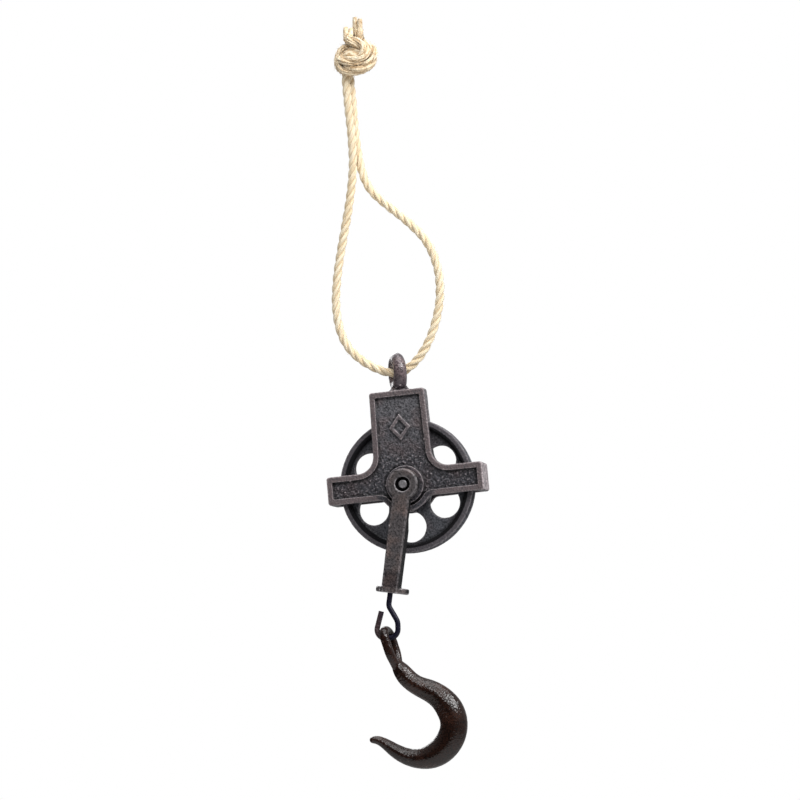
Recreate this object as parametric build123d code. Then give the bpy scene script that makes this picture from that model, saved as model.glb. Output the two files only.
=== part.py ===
"""Cast-iron block pulley on a knotted rope loop, with a swinging hanger strap, a wire swivel and a hook.

Millimetres, +Z up. The front of the pulley faces -Y. The origin is the hanging point, between the two
rope strands just under the knot. Every piece is drawn about the axle's centre and then moved to its place.
"""

import math
import os

from build123d import *

# Place of the axle's centre, seen from the hanging point
AXLE_X = 14.3
AXLE_Z = -247.0

# Axle, headed at the rear, and the running clearance on it
AXLE_R = 2.5
AXLE_FRONT = 16.6
AXLE_HEAD_R = 5.5
AXLE_HEAD_HIGH = 2.4
AXLE_CHAMFER = 0.5
RUNNING_GAP = 0.06
FIXED_GAP = 0.01

# Sheave wheel
SHEAVE_R = 40.5
RIM_HALF = 5.5
RIM_BACK_R = 36.2
RIM_FOOT_R = 35.0
GROOVE_R = 37.4
GROOVE_HALF_TOP = 4.1
GROOVE_HALF_FOOT = 1.4
WEB_HALF = 2.2
HUB_R = 13.6
HUB_SLOPE = 1.0
HUB_HALF = 5.0
HOLE_R = 9.2
HOLE_CIRCLE_R = 25.0
HOLE_COUNT = 6
SHEAVE_EDGE = 0.7
BUSH_R = 4.2
BUSH_HALF = 5.1

# Frame: two half castings that meet on the centre plane
CHEEK_INNER = 6.0
CHEEK_FIELD = 1.9
CHEEK_RIM = 3.6
RIM_WIDTH = 3.4
FRAME_TOP = 56.8
FRAME_TOP_HALF = 16.8
FRAME_WAIST_HALF = 18.0
REAR_COLUMN_IN = 1.8
CROWN_FOOT = 46.0
ARM_HALF_LENGTH = 47.5
ARM_TOP = 9.2
ARM_FOOT = 7.9
ARM_WALL = 4.8
ARM_FILLET = 10.0
CORNER_FILLET = 1.6
BOSS_R = 16.3
BOSS_FILLET = 4.0
PAD_R = 11.4
PAD_PROUD = 0.4
CAST_EDGE = 0.7

# Raised lozenge on the upper field
LOZENGE_Z = 34.5
LOZENGE_HALF_WIDTH = 6.6
LOZENGE_HALF_HEIGHT = 8.0
LOZENGE_INNER = 0.58
LOZENGE_HIGH = 1.2

# Pins that are riveted flush through both halves
RIVET_R = 1.3
RIVET_BLIND = 7.4
ARM_RIVET_X = 45.4
CROWN_RIVET_X = 11.0
CROWN_RIVET_Z = 53.0

# Washers on the axle
WASHER_GAP = 0.1
THRUST_WASHER_R = 6.6
OUTER_WASHER_R = 8.0
OUTER_WASHER_THICK = 0.8
CLIP_R = 4.1
CLIP_THICK = 1.0

# Swivel eye in the crown
EYE_TOP = 80.2
EYE_BAR_R = 4.0
EYE_RING_R = 8.2
EYE_TWIST = 22.0
COLLAR_R = 7.0
COLLAR_NECK_R = 5.0
COLLAR_HIGH = 2.2
COLLAR_GAP = 0.2
SHANK_R = 3.0
PEEN_R = 4.6
PEEN_HIGH = 2.4

# Rope, a three-strand cord drawn as a plain tube
ROPE_R = 2.6
ROPE_GAP = 0.9
KNOT_CENTRE = (-6.7, 0.0, 261.0)
KNOT_HALF_WIDTH = 13.2
KNOT_HALF_HIGH = 10.6
TAIL_R = 2.9
TAILS = [((-10.4, -1.5, 268.0), (-10.8, -2.0, 282.0)), ((-4.8, 1.5, 268.0), (-4.6, 1.0, 287.4))]

# Hanger strap on the axle, in front of the frame; under the boss it grows thicker towards the wheel
STRAP_TILT = 12.5
STRAP_BACK = 11.0
STRAP_FACE = 17.5
STRAP_DEEP_BACK = 6.6
STRAP_GROWS = 20.0
STRAP_GROWN = 27.0
STRAP_EYE_R = 9.4
STRAP_HALF_TOP = 5.4
STRAP_HALF_FOOT = 5.1
STRAP_LENGTH = 65.0
STRAP_EDGE = 0.9
COUNTERBORE_R = 4.4
COUNTERBORE_DEEP = 4.0
FOOT_R = 9.9
FOOT_THICK = 3.4

# Pocket in the strap's rear, over the foot, where the wire's head turns
HANG_FRONT = 13.2
POCKET_HALF = 3.3
POCKET_FRONT = 15.9
POCKET_HIGH = 5.2

# Wire swivel hook under the strap: its corners (x, z), the radii of its bends, and the foot of its loop
WIRE_R = 1.6
HEAD_R = 2.3
HEAD_HIGH = 1.8
SWIVEL_WASHER_R = 2.6
SWIVEL_WASHER_THICK = 1.0
WIRE_LOOP_FOOT = -90.0
WIRE_CORNERS = [
    (-15.8, -71.0),
    (-11.1, -80.8),
    (-11.8, WIRE_LOOP_FOOT),
    (-26.2, WIRE_LOOP_FOOT),
    (-20.4, -73.8),
]
WIRE_BOW_R = 12.0
WIRE_RADII = [5.0, 8.0, 5.2, 5.2]

# Cargo hook: an eye on the wire, and a bow that swells and tapers
HOOK_PIVOT_X = -17.9
HOOK_EYE_BAR = 2.5
HOOK_EYE_WIDE = 2.8
HOOK_EYE_HALF = 2.7
HOOK_EYE_GAP = 0.85
HOOK_EYE_LEAN = -13.5
HOOK_EYE_TWIST = -11.0
HOOK_EYE_LEG = 9.5
HOOK_EYE_LONG = 21.0
HOOK_EYE_BEND_R = 12.0
HOOK_TIP_R = 2.0
HOOK_FLAT = 0.39
HOOK_FLAT_PLUS = 1.0
HOOK_RIDGE = 0.16
HOOK_RIDGE_SHARP = 6
HOOK_SECTION_POINTS = 24
# Middle of the bow (x, z) and its thickness there
HOOK_BOW = [
    (-14.2, -103.6, 5.4),
    (-12.8, -107.6, 8.8),
    (-8.3, -114.6, 11.2),
    (-2.6, -119.6, 11.7),
    (4.0, -123.2, 13.2),
    (10.3, -128.0, 14.6),
    (15.0, -134.8, 16.2),
    (16.9, -142.4, 16.3),
    (15.3, -150.0, 16.4),
    (10.2, -157.0, 16.0),
    (2.4, -161.4, 14.6),
    (-6.4, -162.3, 11.6),
    (-14.4, -159.8, 9.7),
    (-21.0, -155.4, 8.0),
    (-27.2, -150.6, 5.8),
    (-32.6, -148.9, 4.2),
]

# Rope route about the axle's centre: down from the knot on the left, under the eye, and back up on the right
ROPE_ROUTE = [
    (-14.3, -2.8, 254.0),
    (-14.6, -2.8, 236.0),
    (-14.0, -2.8, 215.0),
    (-14.6, -2.8, 196.0),
    (-18.8, -1.8, 176.0),
    (-25.0, -0.6, 155.0),
    (-31.4, 0.0, 132.0),
    (-34.6, 0.0, 110.0),
    (-31.6, 0.0, 91.0),
    (-22.6, 0.0, 78.8),
    (-10.9, 0.0, 70.9),
    (0.5, 0.0, 68.45),
    (10.2, 0.0, 72.0),
    (18.2, 0.0, 80.2),
    (25.2, 0.0, 93.0),
    (30.4, 0.0, 109.4),
    (31.2, 0.0, 127.0),
    (26.4, 0.0, 144.6),
    (15.2, 0.6, 158.6),
    (1.8, 1.6, 171.2),
    (-8.4, 2.6, 182.6),
    (-12.2, 2.8, 199.0),
    (-13.0, 2.8, 218.0),
    (-13.4, 2.8, 237.0),
    (-14.1, 2.8, 254.0),
]
EYE_POINT = 11
ROUND_SHARE = 0.45

CHEEK_FACE = CHEEK_INNER + CHEEK_RIM
PAD_FACE = CHEEK_FACE + PAD_PROUD
HEAD_UNDER = PAD_FACE + OUTER_WASHER_THICK + 2 * WASHER_GAP
RING_CENTRE_Z = EYE_TOP - EYE_BAR_R - EYE_RING_R


def upright_plane(front):
    """Picture plane at a distance in front of the centre plane, facing the viewer."""
    return Plane.XZ.offset(front)


def axle_cylinder(radius, start, end):
    """Cylinder along the axle from one distance behind the centre plane to another, front negative."""
    return extrude(Plane.XZ.offset(-start) * Circle(radius), amount=start - end)


def ring_on_axle(outer, inner, start, end):
    """Washer or sleeve on the axle."""
    return axle_cylinder(outer, start, end) - axle_cylinder(inner, start, end)


def in_hanging_plane(point):
    """Point (x, z) of the upright plane in which the wire and the hook hang, as a space vector."""
    return Vector(point[0], -HANG_FRONT, point[1])


def along_strap(distance):
    """Point (x, z) on the strap's own axis, that far under the axle."""
    tilt = math.radians(STRAP_TILT)
    return (-distance * math.sin(tilt), -distance * math.cos(tilt))


def axle_pin():
    """Pin with a low head at the rear, that carries the wheel, the frame and the strap."""
    pin = axle_cylinder(AXLE_R, -AXLE_FRONT, HEAD_UNDER + AXLE_HEAD_HIGH)
    pin += axle_cylinder(AXLE_HEAD_R, HEAD_UNDER, HEAD_UNDER + AXLE_HEAD_HIGH)
    ends = pin.edges().filter_by(GeomType.CIRCLE).sort_by(Axis.Y)
    return chamfer([ends[0], ends[-1]], AXLE_CHAMFER)


def sheave():
    """Grooved wheel with six round holes through its web."""
    half = [
        (BUSH_R, HUB_HALF),
        (HUB_R, HUB_HALF),
        (HUB_R + HUB_SLOPE, WEB_HALF),
        (RIM_FOOT_R, WEB_HALF),
        (RIM_BACK_R, RIM_HALF),
        (SHEAVE_R, RIM_HALF),
        (SHEAVE_R, GROOVE_HALF_TOP),
        (GROOVE_R, GROOVE_HALF_FOOT),
    ]
    outline = half + [(radius, -y) for radius, y in reversed(half)]
    wheel = revolve(make_face(Polyline(*outline, close=True)), Axis.Y)
    circles = [e for e in wheel.edges() if e.geom_type == GeomType.CIRCLE]
    crests = [e for e in circles if e.radius > SHEAVE_R - 0.1]
    shoulders = [e for e in circles if RIM_BACK_R - 0.1 < e.radius < GROOVE_R - 0.1]
    wheel = fillet(crests + shoulders, SHEAVE_EDGE)
    for index in range(HOLE_COUNT):
        angle = math.radians(90 + index * 360 / HOLE_COUNT)
        hole = axle_cylinder(HOLE_R, -SHEAVE_R, SHEAVE_R)
        wheel -= Pos(HOLE_CIRCLE_R * math.cos(angle), 0, HOLE_CIRCLE_R * math.sin(angle)) * hole
    return wheel


def cheek_outline(column_in):
    """Inverted T of a cheek, with a round boss under the axle; the column can be a little narrower."""
    waist_half = FRAME_WAIST_HALF - column_in
    right = [
        (FRAME_TOP_HALF - column_in, FRAME_TOP),
        (waist_half, ARM_TOP),
        (ARM_HALF_LENGTH, ARM_TOP),
        (ARM_HALF_LENGTH, -ARM_FOOT),
    ]
    left = [(-x, y) for x, y in reversed(right)]
    tee = make_face(Polyline(*right, *left, close=True))
    tee = fillet([v for v in tee.vertices() if abs(abs(v.X) - waist_half) < 0.1], ARM_FILLET)
    outer = [v for v in tee.vertices() if abs(v.X) > ARM_HALF_LENGTH - 0.1 or v.Y > FRAME_TOP - 0.1]
    tee = fillet(outer, CORNER_FILLET)
    whole = Sketch() + tee + Circle(BOSS_R)
    boss_join = [v for v in whole.vertices() if abs(v.Y + ARM_FOOT) < 0.1 and abs(v.X) < BOSS_R]
    return fillet(boss_join, BOSS_FILLET)


def half_casting(column_in):
    """Half casting: a rimmed cheek with half of the crown and half of each arm's end wall."""
    outline = cheek_outline(column_in)
    half = extrude(upright_plane(CHEEK_INNER) * outline, amount=CHEEK_RIM)
    front_edges = half.edges().group_by(Axis.Y)[0]
    half = fillet(front_edges, CAST_EDGE)
    field = offset(outline, amount=-RIM_WIDTH)
    half -= extrude(upright_plane(CHEEK_INNER + CHEEK_FIELD) * field, amount=CHEEK_RIM)
    half += extrude(upright_plane(CHEEK_INNER) * Circle(PAD_R), amount=CHEEK_RIM + PAD_PROUD)
    half += extrude(upright_plane(CHEEK_INNER) * lozenge(), amount=CHEEK_FIELD + LOZENGE_HIGH)
    end_walls = Pos(ARM_HALF_LENGTH - ARM_WALL / 2, 0) * Rectangle(ARM_WALL, 4 * ARM_TOP)
    end_walls += Pos(-ARM_HALF_LENGTH + ARM_WALL / 2, 0) * Rectangle(ARM_WALL, 4 * ARM_TOP)
    crown = Pos(0, FRAME_TOP) * Rectangle(4 * FRAME_TOP_HALF, 2 * (FRAME_TOP - CROWN_FOOT))
    blocks = (end_walls + crown) & outline
    half += extrude(blocks, amount=CHEEK_INNER, dir=(0, 0, 1)).rotate(Axis.X, 90)
    half -= axle_cylinder(AXLE_R + FIXED_GAP, -SHEAVE_R, 0)
    return half - crown_hole()


def front_half():
    """Front half casting, with blind holes for the rivets."""
    half = half_casting(0)
    for x, z in rivet_places():
        half -= Pos(x, 0, z) * axle_cylinder(RIVET_R + FIXED_GAP, -RIVET_BLIND, 0)
    return half


def rear_half():
    """Rear half casting: the front's mirror image with a narrower column, drilled through for rivets."""
    half = mirror(half_casting(REAR_COLUMN_IN), about=Plane.XZ)
    for x, z in rivet_places():
        half -= Pos(x, 0, z) * axle_cylinder(RIVET_R + FIXED_GAP, 0, SHEAVE_R)
    return half


def lozenge():
    """Plain raised diamond with an open middle, the only mark on the field."""
    wide = LOZENGE_HALF_WIDTH
    high = LOZENGE_HALF_HEIGHT
    corners = [(0, high), (wide, 0), (0, -high), (-wide, 0)]
    inner = [(x * LOZENGE_INNER, y * LOZENGE_INNER) for x, y in corners]
    diamond = make_face(Polyline(*corners, close=True)) - make_face(Polyline(*inner, close=True))
    return Pos(0, LOZENGE_Z) * diamond


def crown_hole():
    """Hole for the eye's shank, countersunk from below for its peened end."""
    hole = Pos(0, 0, FRAME_TOP) * Cylinder(SHANK_R + RUNNING_GAP, 4 * (FRAME_TOP - CROWN_FOOT))
    wide = PEEN_R + COLLAR_GAP
    sink = Cone(wide, SHANK_R + RUNNING_GAP, PEEN_HIGH, align=(Align.CENTER, Align.CENTER, Align.MIN))
    return hole + Pos(0, 0, CROWN_FOOT) * sink


def rivet_places():
    """Where the halves are riveted together: both arm ends and both sides of the crown."""
    return [(s * ARM_RIVET_X, 0) for s in (-1, 1)] + [(s * CROWN_RIVET_X, CROWN_RIVET_Z) for s in (-1, 1)]


def rivets(places):
    """Flush pins that hold the two half castings together."""
    pin = axle_cylinder(RIVET_R, -RIVET_BLIND, CHEEK_FACE)
    return Compound([Pos(x, 0, z) * pin for x, z in places])


def swivel_eye():
    """Ring on a collar, whose shank turns in the crown and is peened over below it."""
    foot = FRAME_TOP + COLLAR_GAP
    stem = (Align.CENTER, Align.CENTER, Align.MIN)
    ring = Pos(0, 0, RING_CENTRE_Z) * Rot(0, 0, EYE_TWIST) * Rot(0, 90, 0) * Torus(EYE_RING_R, EYE_BAR_R)
    ring &= Pos(0, 0, foot) * Cylinder(2 * EYE_RING_R, 2 * EYE_RING_R + 4 * EYE_BAR_R, align=stem)
    collar = Pos(0, 0, foot) * Cone(COLLAR_R, COLLAR_NECK_R, COLLAR_HIGH, align=stem)
    neck = Pos(0, 0, foot) * Cylinder(COLLAR_NECK_R, RING_CENTRE_Z - EYE_RING_R - foot, align=stem)
    shank = Pos(0, 0, CROWN_FOOT) * Cylinder(SHANK_R, foot - CROWN_FOOT + COLLAR_HIGH, align=stem)
    peen = Pos(0, 0, CROWN_FOOT) * Cone(PEEN_R, SHANK_R, PEEN_HIGH, align=stem)
    return ring + collar + neck + shank + peen


def hanger_strap():
    """Strap with an eye on the axle, a round foot at its lower end, and a pocket over the foot."""
    top = 2 * STRAP_EYE_R
    profile = [
        (-STRAP_FACE, top),
        (-STRAP_BACK, top),
        (-STRAP_BACK, -STRAP_GROWS),
        (-STRAP_DEEP_BACK, -STRAP_GROWN),
        (-STRAP_DEEP_BACK, -STRAP_LENGTH),
        (-STRAP_FACE, -STRAP_LENGTH),
    ]
    side = extrude(Plane.YZ * make_face(Polyline(*profile, close=True)), amount=top, both=True)
    bar = make_face(
        Polyline(
            (-STRAP_HALF_TOP, 0),
            (STRAP_HALF_TOP, 0),
            (STRAP_HALF_FOOT, -STRAP_LENGTH),
            (-STRAP_HALF_FOOT, -STRAP_LENGTH),
            close=True,
        )
    )
    face = Sketch() + Circle(STRAP_EYE_R) + bar
    strap = side & extrude(Plane.XZ * face, amount=2 * STRAP_FACE)
    front_edges = strap.edges().group_by(Axis.Y)[0]
    strap = chamfer([e for e in front_edges if e.center().Z > 1 - STRAP_LENGTH], STRAP_EDGE)
    stem = (Align.CENTER, Align.CENTER, Align.MIN)
    foot = Pos(0, FOOT_R - STRAP_FACE, -STRAP_LENGTH) * Cylinder(FOOT_R, FOOT_THICK, align=stem)
    strap += fillet(foot.edges().filter_by(GeomType.CIRCLE), STRAP_EDGE)
    strap -= axle_cylinder(AXLE_R + RUNNING_GAP, -2 * STRAP_FACE, 0)
    strap -= axle_cylinder(COUNTERBORE_R, -2 * STRAP_FACE, COUNTERBORE_DEEP - STRAP_FACE)
    pocket = Box(2 * POCKET_HALF, POCKET_FRONT, POCKET_HIGH, align=(Align.CENTER, Align.MIN, Align.MIN))
    strap -= Pos(0, -POCKET_FRONT, FOOT_THICK - STRAP_LENGTH) * pocket
    strap -= Pos(0, -HANG_FRONT, -STRAP_LENGTH) * Cylinder(WIRE_R + RUNNING_GAP, 3 * FOOT_THICK)
    return Rot(0, STRAP_TILT, 0) * strap


def swivel_washer():
    """Washer between the wire's head and the strap's foot."""
    level = -STRAP_LENGTH + FOOT_THICK + WASHER_GAP
    stem = (Align.CENTER, Align.CENTER, Align.MIN)
    disc = Cylinder(SWIVEL_WASHER_R, SWIVEL_WASHER_THICK, align=stem)
    disc -= Cylinder(WIRE_R + FIXED_GAP, 3 * SWIVEL_WASHER_THICK)
    return Rot(0, STRAP_TILT, 0) * Pos(0, -HANG_FRONT, level) * disc


def swivel_wire():
    """Headed wire that turns in the strap's foot and is bent into an open hook."""
    head_under = STRAP_LENGTH - FOOT_THICK - WASHER_GAP - SWIVEL_WASHER_THICK
    corners = [along_strap(head_under - HEAD_HIGH / 2), along_strap(STRAP_LENGTH + WIRE_R)] + WIRE_CORNERS
    path = FilletPolyline(*[in_hanging_plane(p) for p in corners], radius=[WIRE_BOW_R] + WIRE_RADII)
    section = Plane(origin=path @ 0, z_dir=path % 0) * Circle(WIRE_R)
    wire = sweep(section, path=path)
    head = Cylinder(HEAD_R, HEAD_HIGH, align=(Align.CENTER, Align.CENTER, Align.MIN))
    head = fillet(head.edges().filter_by(GeomType.CIRCLE).sort_by(Axis.Z)[-1], HEAD_HIGH / 2)
    return wire + Rot(0, STRAP_TILT, 0) * Pos(0, -HANG_FRONT, -head_under) * head


def hook_section(half_deep, half_thick):
    """Rounded section of the hook's bow, drawn out into a low ridge in front and behind."""
    points = []
    for step in range(HOOK_SECTION_POINTS):
        angle = 2 * math.pi * step / HOOK_SECTION_POINTS
        out = math.cos(angle)
        ridge = 1 - HOOK_RIDGE * (1 - abs(out) ** HOOK_RIDGE_SHARP)
        points.append((half_deep * out * ridge, half_thick * math.sin(angle)))
    return make_face(Spline(*points, periodic=True))


def cargo_hook():
    """Hook with an eye that hangs on the wire, and a bow that swells at its back and tapers to the tip."""
    bar = HOOK_EYE_HALF + HOOK_EYE_BAR
    arch_top = WIRE_R + HOOK_EYE_GAP + HOOK_EYE_BAR
    arch_centre = arch_top - bar
    legs = arch_centre - HOOK_EYE_LEG
    meeting = (0, 0, arch_centre - HOOK_EYE_LONG)
    eye_path = (
        FilletPolyline(meeting, (0, -bar, legs), (0, -bar, arch_centre), radius=HOOK_EYE_BEND_R)
        + ThreePointArc((0, -bar, arch_centre), (0, 0, arch_top), (0, bar, arch_centre))
        + FilletPolyline((0, bar, arch_centre), (0, bar, legs), meeting, radius=HOOK_EYE_BEND_R)
    )
    across = Plane(origin=eye_path @ 0, x_dir=(1, 0, 0), z_dir=eye_path % 0)
    eye = sweep(across * Ellipse(HOOK_EYE_WIDE, HOOK_EYE_BAR), path=eye_path)
    eye = Rot(0, HOOK_EYE_LEAN, 0) * Rot(0, 0, HOOK_EYE_TWIST) * eye
    eye = Pos(in_hanging_plane((HOOK_PIVOT_X, WIRE_LOOP_FOOT))) * eye
    places = [in_hanging_plane((x, z)) for x, z, _ in HOOK_BOW]
    middle = Spline(*places)
    sections = []
    for place, (_, _, thick) in zip(places, HOOK_BOW):
        along = middle % middle.param_at_point(place)
        plane = Plane(origin=place, x_dir=(0, 1, 0), z_dir=along)
        sections.append(plane * hook_section(HOOK_FLAT * thick + HOOK_FLAT_PLUS, thick / 2))
    return eye + loft(sections) + Pos(places[-1]) * Sphere(HOOK_TIP_R)


def rope_path():
    """Straight runs joined by arcs as large as the runs allow; at the eye the arc is the eye bar's size."""
    points = [Vector(*p) for p in ROPE_ROUTE]
    radii = []
    for index in range(1, len(points) - 1):
        before = points[index] - points[index - 1]
        after = points[index + 1] - points[index]
        turn = math.radians(before.get_angle(after))
        radius = ROUND_SHARE * min(before.length, after.length) / math.tan(turn / 2)
        if index == EYE_POINT:
            radius = EYE_BAR_R + ROPE_GAP + ROPE_R
        radii.append(radius)
    print("rope radii", [round(r, 1) for r in radii])
    return FilletPolyline(*points, radius=radii)


def rope_loop():
    """Rope from the knot, down through the eye and back up to the knot."""
    path = rope_path()
    section = Plane(origin=path @ 0, z_dir=path % 0) * Circle(ROPE_R)
    tube = sweep(section, path=path)
    share = tube.volume / (path.length * math.pi * ROPE_R**2)
    print("rope length", round(path.length, 1), "volume share", round(share, 4))
    return tube


def rope_knot():
    """Knot that ties both ends of the rope, with its two short tails."""
    ball = scale(Sphere(KNOT_HALF_HIGH), by=(KNOT_HALF_WIDTH / KNOT_HALF_HIGH, 1, 1))
    knot = Pos(*KNOT_CENTRE) * ball
    for start, end in TAILS:
        line = Line(start, end)
        knot += sweep(Plane(origin=line @ 0, z_dir=line % 0) * Circle(TAIL_R), path=line)
    return knot


def pieces():
    """Every piece by its node's name, about the axle's centre."""
    washer_in = BUSH_HALF + WASHER_GAP
    washer_out = CHEEK_INNER - WASHER_GAP
    outer_in = PAD_FACE + WASHER_GAP
    outer_out = outer_in + OUTER_WASHER_THICK
    clip_rear = STRAP_FACE - COUNTERBORE_DEEP + WASHER_GAP
    clip_front = clip_rear + CLIP_THICK
    hole = AXLE_R + RUNNING_GAP
    arm_places = rivet_places()[:2]
    crown_places = rivet_places()[2:]
    return {
        "rope_loop": rope_loop(),
        "rope_knot": rope_knot(),
        "swivel_eye": swivel_eye(),
        "frame_front_half": front_half(),
        "frame_rear_half": rear_half(),
        "arm_rivets": rivets(arm_places),
        "crown_rivets": rivets(crown_places),
        "axle_pin": axle_pin(),
        "sheave_wheel": sheave(),
        "sheave_bush": ring_on_axle(BUSH_R - FIXED_GAP, hole, -BUSH_HALF, BUSH_HALF),
        "thrust_washer_front": ring_on_axle(THRUST_WASHER_R, hole, -washer_out, -washer_in),
        "thrust_washer_rear": ring_on_axle(THRUST_WASHER_R, hole, washer_in, washer_out),
        "strap_washer": ring_on_axle(OUTER_WASHER_R, hole, -outer_out, -outer_in),
        "head_washer": ring_on_axle(OUTER_WASHER_R, hole, outer_in, outer_out),
        "axle_clip": ring_on_axle(CLIP_R, AXLE_R + FIXED_GAP, -clip_front, -clip_rear),
        "hanger_strap": hanger_strap(),
        "swivel_washer": swivel_washer(),
        "swivel_wire": swivel_wire(),
        "cargo_hook": cargo_hook(),
    }


os.makedirs("parts", exist_ok=True)
for name, shape in pieces().items():
    export_step(Pos(AXLE_X, 0, AXLE_Z) * shape, f"parts/{name}.step")
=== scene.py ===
"""Looks of a cast-iron block pulley that hangs on a knotted rope loop, with a wire swivel and a hook.

Metres, +Z up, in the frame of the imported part: the origin is the hanging point just under the knot.
"""

import math
import random

import bpy
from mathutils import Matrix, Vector


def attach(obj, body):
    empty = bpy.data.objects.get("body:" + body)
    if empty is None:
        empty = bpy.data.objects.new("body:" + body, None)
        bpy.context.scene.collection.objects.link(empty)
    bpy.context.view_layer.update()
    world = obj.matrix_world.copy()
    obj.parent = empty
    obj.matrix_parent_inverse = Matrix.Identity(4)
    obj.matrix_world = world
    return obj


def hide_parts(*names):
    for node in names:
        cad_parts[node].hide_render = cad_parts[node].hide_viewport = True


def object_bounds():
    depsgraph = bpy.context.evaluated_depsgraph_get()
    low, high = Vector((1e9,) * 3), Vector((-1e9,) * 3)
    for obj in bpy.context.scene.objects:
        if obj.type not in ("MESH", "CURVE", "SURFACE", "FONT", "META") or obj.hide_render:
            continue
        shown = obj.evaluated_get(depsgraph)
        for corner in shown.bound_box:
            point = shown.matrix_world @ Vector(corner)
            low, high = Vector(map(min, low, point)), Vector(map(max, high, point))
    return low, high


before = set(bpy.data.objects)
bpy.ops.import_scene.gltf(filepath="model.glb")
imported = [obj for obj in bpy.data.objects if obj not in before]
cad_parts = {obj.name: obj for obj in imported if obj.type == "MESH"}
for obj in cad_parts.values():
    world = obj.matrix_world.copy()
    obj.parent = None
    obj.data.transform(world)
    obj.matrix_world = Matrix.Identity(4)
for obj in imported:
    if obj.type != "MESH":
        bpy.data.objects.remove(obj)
cad_low, cad_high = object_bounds()
bpy.context.scene.view_settings.view_transform = "Standard"

# Camera
# It stands a little to the right of the pulley's middle and a little below it, with a long lens.
# It is rolled, because the pulley leans a few degrees in the picture.
VIEW_CENTRE = Vector((0.0143, 0, -0.1953))
VIEW_DISTANCE = 2.0
VIEW_LENS = 150
VIEW_AZIMUTH = math.radians(11)
VIEW_ELEVATION = math.radians(-6)
VIEW_ROLL = math.radians(-5.3)
camera = bpy.data.objects.new("camera", bpy.data.cameras.new("camera"))
bpy.context.scene.collection.objects.link(camera)
bpy.context.scene.camera = camera
camera.data.lens = VIEW_LENS
towards_camera = Vector(
    (
        math.sin(VIEW_AZIMUTH) * math.cos(VIEW_ELEVATION),
        -math.cos(VIEW_AZIMUTH) * math.cos(VIEW_ELEVATION),
        math.sin(VIEW_ELEVATION),
    )
)
camera.location = VIEW_CENTRE + VIEW_DISTANCE * towards_camera
camera.rotation_euler = towards_camera.to_track_quat("Z", "Y").to_euler()
camera.rotation_euler.rotate_axis("Z", VIEW_ROLL)

# Sheave wheel
# A grooved wheel with six round holes, cast in one piece in sand, so its skin is grainy and its edges
# are soft. A ring of painted shade lies inside its rim. It turns on a brass bush on the axle.
WHEEL_VOXEL = 0.00045
MERGE_GAP = 1e-6
CASTING_SOFTENING = 3


def pick(piece):
    """Selects one piece alone."""
    bpy.ops.object.select_all(action="DESELECT")
    piece.select_set(True)
    bpy.context.view_layer.objects.active = piece


def apply_last(piece):
    """Applies the piece's newest modifier."""
    pick(piece)
    bpy.ops.object.modifier_apply(modifier=piece.modifiers[-1].name)


def casting(node, name, voxel):
    """A fine closed skin with softened edges over a copy of a casting's solid."""
    piece = bpy.data.objects.new(name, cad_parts[node].data.copy())
    bpy.context.scene.collection.objects.link(piece)
    piece.data.materials.clear()
    pick(piece)
    bpy.ops.object.mode_set(mode="EDIT")
    bpy.ops.mesh.select_all(action="SELECT")
    bpy.ops.mesh.remove_doubles(threshold=MERGE_GAP)
    bpy.ops.object.mode_set(mode="OBJECT")
    skin = piece.modifiers.new("skin", "REMESH")
    skin.mode = "VOXEL"
    skin.voxel_size = voxel
    skin.use_smooth_shade = True
    apply_last(piece)
    soft = piece.modifiers.new("soft edges", "SMOOTH")
    soft.iterations = CASTING_SOFTENING
    apply_last(piece)
    return piece


def roughen(piece, size, depth, group=""):
    """Sand-cast unevenness: lumps of that size, that far from lowest to highest."""
    sand = bpy.data.textures.new(piece.name + "_sand", "CLOUDS")
    sand.noise_basis = "IMPROVED_PERLIN"
    sand.noise_scale = size
    sand.noise_depth = 2
    skin = piece.modifiers.new("sand skin", "DISPLACE")
    skin.texture = sand
    skin.texture_coords = "LOCAL"
    skin.strength = depth
    skin.vertex_group = group
    apply_last(piece)


def tint(red, green, blue):
    """Colour as it looks on a screen, 0 to 255, in the renderer's own linear values."""
    return [((c / 255 + 0.055) / 1.055) ** 2.4 for c in (red, green, blue)] + [1]


def add(tree, kind, inputs, **settings):
    """Adds a shader node. An input is a value, or the socket that feeds it."""
    node = tree.nodes.new("ShaderNode" + kind)
    for name, value in settings.items():
        setattr(node, name, value)
    for name, value in inputs.items():
        if isinstance(value, bpy.types.NodeSocket):
            tree.links.new(value, node.inputs[name])
        else:
            node.inputs[name].default_value = value
    return node


def reckon(tree, operation, *values):
    """One step of arithmetic on values or sockets."""
    return add(tree, "Math", dict(enumerate(values)), operation=operation).outputs[0]


def spread(tree, value, low=0.0, high=1.0, start=0.0, end=1.0):
    """Stretches what lies from low to high over start to end, cut off outside."""
    ends = {"From Min": low, "From Max": high, "To Min": start, "To Max": end}
    return add(tree, "MapRange", {"Value": value, **ends}).outputs["Result"]


def mix(tree, factor, first, second, blend="MIX"):
    """Colour that goes from the first to the second."""
    node = add(tree, "Mix", {}, data_type="RGBA", blend_type=blend)
    for name, value in (("Factor_Float", factor), ("A_Color", first), ("B_Color", second)):
        socket = next(s for s in node.inputs if s.identifier == name)
        if isinstance(value, bpy.types.NodeSocket):
            tree.links.new(value, socket)
        else:
            socket.default_value = value
    return next(s for s in node.outputs if s.identifier == "Result_Color")


def new_finish(name, constants):
    """A new material with its node tree and its surface shader, which has what is the same all over."""
    material = bpy.data.materials.new(name)
    material.use_nodes = True
    tree = material.node_tree
    shader = tree.nodes["Principled BSDF"]
    for socket, value in constants.items():
        shader.inputs[socket].default_value = value
    return material, tree, shader


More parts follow.
